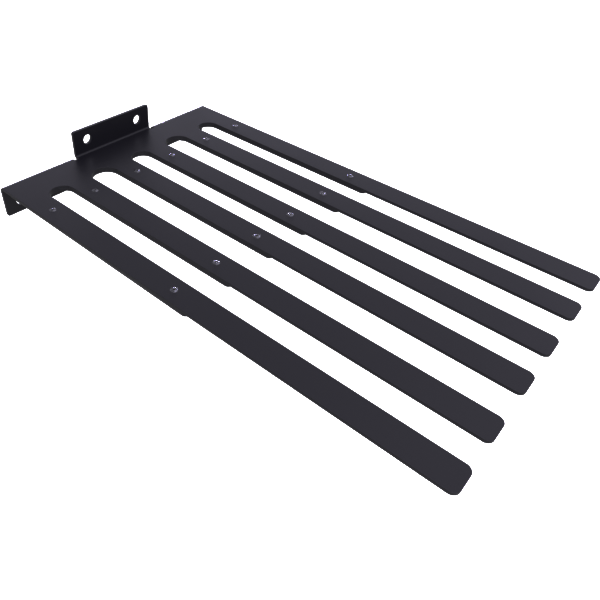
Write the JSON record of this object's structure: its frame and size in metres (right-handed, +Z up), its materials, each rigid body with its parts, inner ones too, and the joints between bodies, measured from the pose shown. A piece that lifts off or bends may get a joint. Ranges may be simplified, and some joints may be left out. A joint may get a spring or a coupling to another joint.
{
  "type": "wall cue rack",
  "caption": "Steel comb rack that stands out from a wall on bent tabs and holds cues in the long slots between its flat tines, stiffened by a second riveted comb.",
  "frame": {"origin": "on the wall, midway between the two screw holes of the upper tab", "axes": "+X along the wall, -Y out of the wall along the tines, +Z up"},
  "size_m": [0.269, 0.46, 0.0572],
  "materials": {
    "plate_coat": "satin charcoal powder coat with a fine grain",
    "stiffener_coat": "satin charcoal powder coat with a fine grain",
    "rivet_metal": "dull bare metal with a soft sheen",
    "mandrel_steel": "dark steel, broken off short"
  },
  "bodies": {
    "root": {"rack_plate": "plate_coat", "stiffener_plate": "stiffener_coat", "back_rivet_1": "rivet_metal", "back_rivet_2": "rivet_metal", "back_rivet_3": "rivet_metal", "back_rivet_4": "rivet_metal", "back_rivet_5": "rivet_metal", "back_rivet_6": "rivet_metal", "front_rivet_1": "rivet_metal", "front_rivet_2": "rivet_metal", "front_rivet_3": "rivet_metal", "front_rivet_4": "rivet_metal", "front_rivet_5": "rivet_metal", "front_rivet_6": "rivet_metal", "back_mandrel_1": "mandrel_steel", "back_mandrel_2": "mandrel_steel", "back_mandrel_3": "mandrel_steel", "back_mandrel_4": "mandrel_steel", "back_mandrel_5": "mandrel_steel", "back_mandrel_6": "mandrel_steel", "front_mandrel_1": "mandrel_steel", "front_mandrel_2": "mandrel_steel", "front_mandrel_3": "mandrel_steel", "front_mandrel_4": "mandrel_steel", "front_mandrel_5": "mandrel_steel", "front_mandrel_6": "mandrel_steel"}
  },
  "joints": []
}
